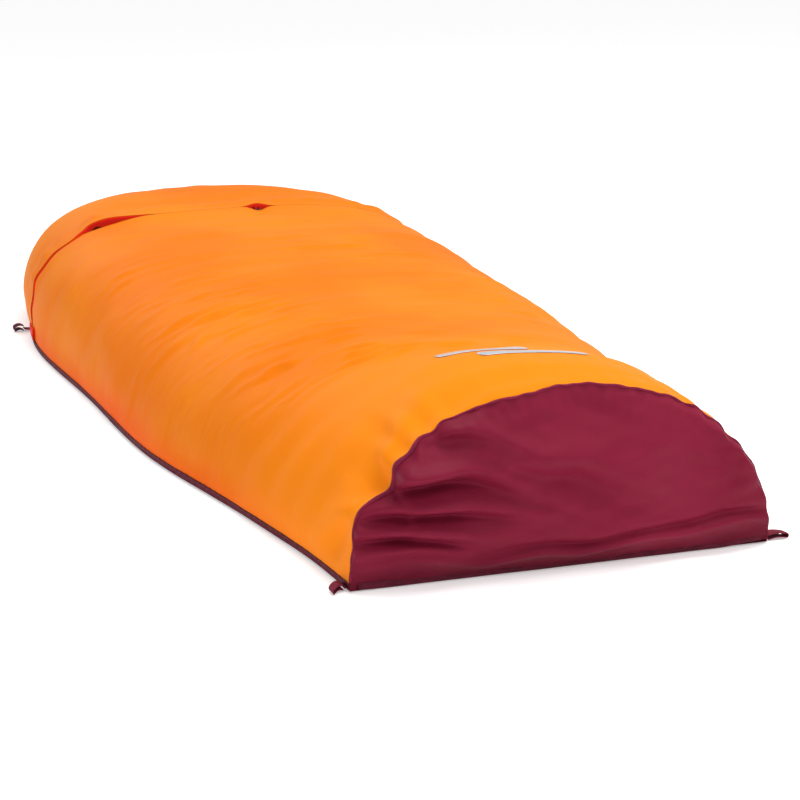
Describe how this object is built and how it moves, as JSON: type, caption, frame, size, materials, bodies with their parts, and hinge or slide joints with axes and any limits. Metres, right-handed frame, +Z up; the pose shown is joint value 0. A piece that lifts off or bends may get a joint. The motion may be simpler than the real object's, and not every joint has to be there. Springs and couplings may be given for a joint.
{
  "type": "bivy sack",
  "caption": "Long low bivy sack with an upright foot panel, bathtub floor, canopy and hood meeting at a crosswise drawcord mouth, and a webbing stake loop at each corner.",
  "frame": {"origin": "on the ground under the middle of the sack's bounding box", "axes": "+Y from the foot to the head, +X across to the sack's right seen from the foot, +Z up"},
  "size_m": [0.8534, 2.103, 0.2569],
  "materials": {
    "canopy_nylon": "satin",
    "floor_nylon": "satin",
    "binding": "matt",
    "lip_facing": "matt",
    "seam_tape": "satin",
    "reflective_film": "reflective",
    "label": "matt",
    "cord": "matt",
    "grommet": "satin",
    "lock_plastic": "matt",
    "spring_steel": "bright",
    "webbing": "matt",
    "stitching": "matt"
  },
  "bodies": {
    "sack": {"floor_panel": "floor_nylon", "foot_panel": "floor_nylon", "canopy_panel": "canopy_nylon", "hood_panel": "canopy_nylon", "floor_edge_binding": "binding", "foot_arch_binding": "binding", "foot_floor_binding": "binding", "floor_seam_tape": "seam_tape", "foot_seam_tape": "seam_tape", "reflective_bars": "reflective_film", "mouth_corner_patches": "binding", "care_label": "label", "stake_loop_tacks": "stitching"},
    "canopy_lip": {"canopy_lip_hem": "lip_facing"},
    "hood_lip": {"hood_lip_hem": "lip_facing", "drawcord": "cord", "drawcord_knot": "cord", "cord_grommet": "grommet", "cord_lock_barrel": "lock_plastic", "cord_lock_spring": "spring_steel"},
    "cord_lock_button": {"cord_lock_plunger": "lock_plastic"},
    "foot_left_loop": {"foot_left_stake_loop": "webbing"},
    "foot_right_loop": {"foot_right_stake_loop": "webbing"},
    "head_left_loop": {"head_left_stake_loop": "webbing"},
    "head_right_loop": {"head_right_stake_loop": "webbing"}
  },
  "joints": [
    {"name": "hood_lip_fold", "type": "hinge", "parent": "sack", "child": "hood_lip", "pos_m": [0, 0.517, 0.0121], "axis": [-1, 0, 0], "range_deg": [0, 45]},
    {"name": "canopy_lip_fold", "type": "hinge", "parent": "sack", "child": "canopy_lip", "pos_m": [0, 0.461, 0.0121], "axis": [1, 0, 0], "range_deg": [0, 60]},
    {"name": "cord_lock_press", "type": "slide", "parent": "hood_lip", "child": "cord_lock_button", "axis": [-1, 0, 0], "range_m": [0, 0.003], "stiffness_N_per_m": 300, "springref_m": -0.003, "deforming": ["cord_lock_spring"]},
    {"name": "foot_left_loop_lift", "type": "hinge", "parent": "sack", "child": "foot_left_loop", "pos_m": [-0.3095, -1.034, 0.004], "axis": [0, 1, 0], "range_deg": [0, 85]},
    {"name": "foot_right_loop_lift", "type": "hinge", "parent": "sack", "child": "foot_right_loop", "pos_m": [0.3095, -1.034, 0.004], "axis": [0, -1, 0], "range_deg": [0, 85]},
    {"name": "head_left_loop_lift", "type": "hinge", "parent": "sack", "child": "head_left_loop", "pos_m": [-0.3967, 0.61, 0.004], "axis": [0, 1, 0], "range_deg": [0, 85]},
    {"name": "head_right_loop_lift", "type": "hinge", "parent": "sack", "child": "head_right_loop", "pos_m": [0.3967, 0.61, 0.004], "axis": [0, -1, 0], "range_deg": [0, 85]}
  ]
}
